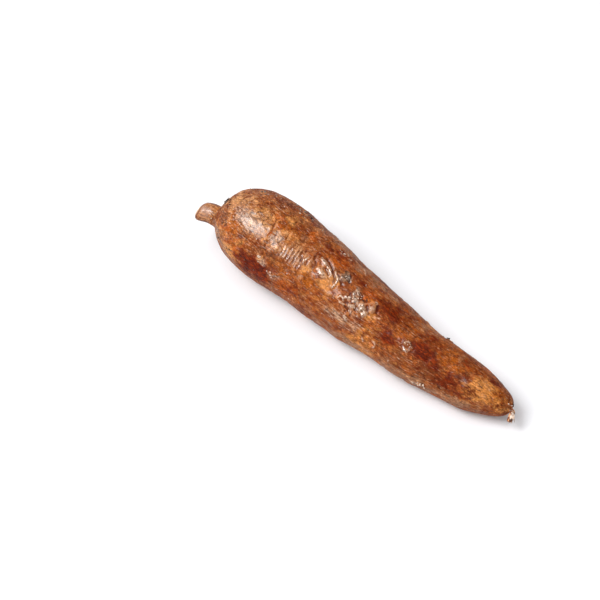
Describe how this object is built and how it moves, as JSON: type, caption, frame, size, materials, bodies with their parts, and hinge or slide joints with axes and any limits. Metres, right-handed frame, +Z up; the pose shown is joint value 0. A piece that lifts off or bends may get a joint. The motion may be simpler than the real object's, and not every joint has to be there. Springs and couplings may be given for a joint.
{
  "type": "cassava root",
  "caption": "Fresh cassava root with a glossy brown bark, a cut woody stub at its head and a blunt tip. It lies on its side as produce for a kitchen, a market stall or a still life.",
  "frame": {"origin": "on the surface that the root lies on, under the middle of its bounding box", "axes": "+X along the root from its stub to its tip, +Z up, -Y towards the side that the picture shows"},
  "size_m": [0.2946, 0.0656, 0.0658],
  "materials": {
    "bark": "mottled brown bark with a waxed gloss"
  },
  "bodies": {
    "root": {"cassava_root": "bark"}
  },
  "joints": []
}
